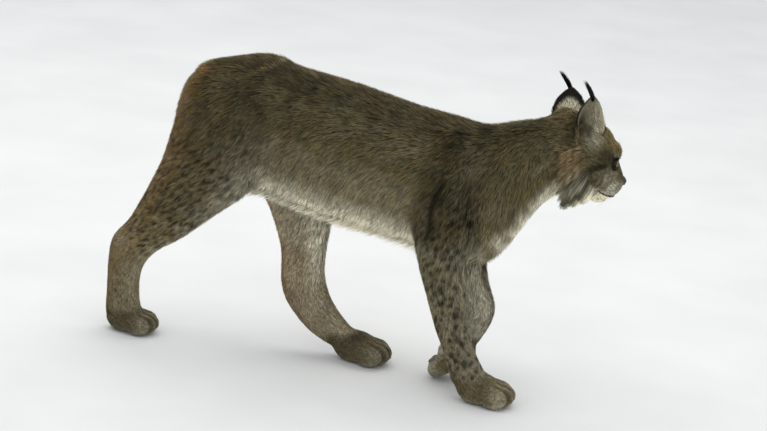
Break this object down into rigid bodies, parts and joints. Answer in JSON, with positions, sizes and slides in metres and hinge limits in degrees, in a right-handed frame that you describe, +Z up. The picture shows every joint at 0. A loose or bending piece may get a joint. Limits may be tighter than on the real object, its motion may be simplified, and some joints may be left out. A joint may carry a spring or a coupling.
{
  "type": "eurasian lynx",
  "caption": "Life-size still model of a Eurasian lynx in winter coat, walking forward on level ground with its head turned to its left.",
  "frame": {"origin": "on the floor, under the middle of the model's bounding box", "axes": "+X is the way the lynx walks, +Y is its left side, +Z is up"},
  "size_m": [1.1366, 0.2912, 0.7389],
  "materials": {
    "coat": "dense winter fur, matt",
    "face_coat": "short fur, matt, with long cheek locks",
    "tail_coat": "bushy fur, matt",
    "ear_coat": "short fur, matt",
    "leg_coat": "short fur, matt",
    "eye": "wet gloss"
  },
  "bodies": {
    "root": {"ear_left": "ear_coat", "ear_right": "ear_coat", "eye_left": "eye", "eye_right": "eye", "fore_leg_left": "leg_coat", "fore_leg_right": "leg_coat", "fore_paw_left": "leg_coat", "fore_paw_right": "leg_coat", "head": "face_coat", "hind_leg_left": "leg_coat", "hind_leg_right": "leg_coat", "hind_paw_left": "leg_coat", "hind_paw_right": "leg_coat", "neck": "coat", "tail": "tail_coat", "torso": "coat"}
  },
  "joints": []
}
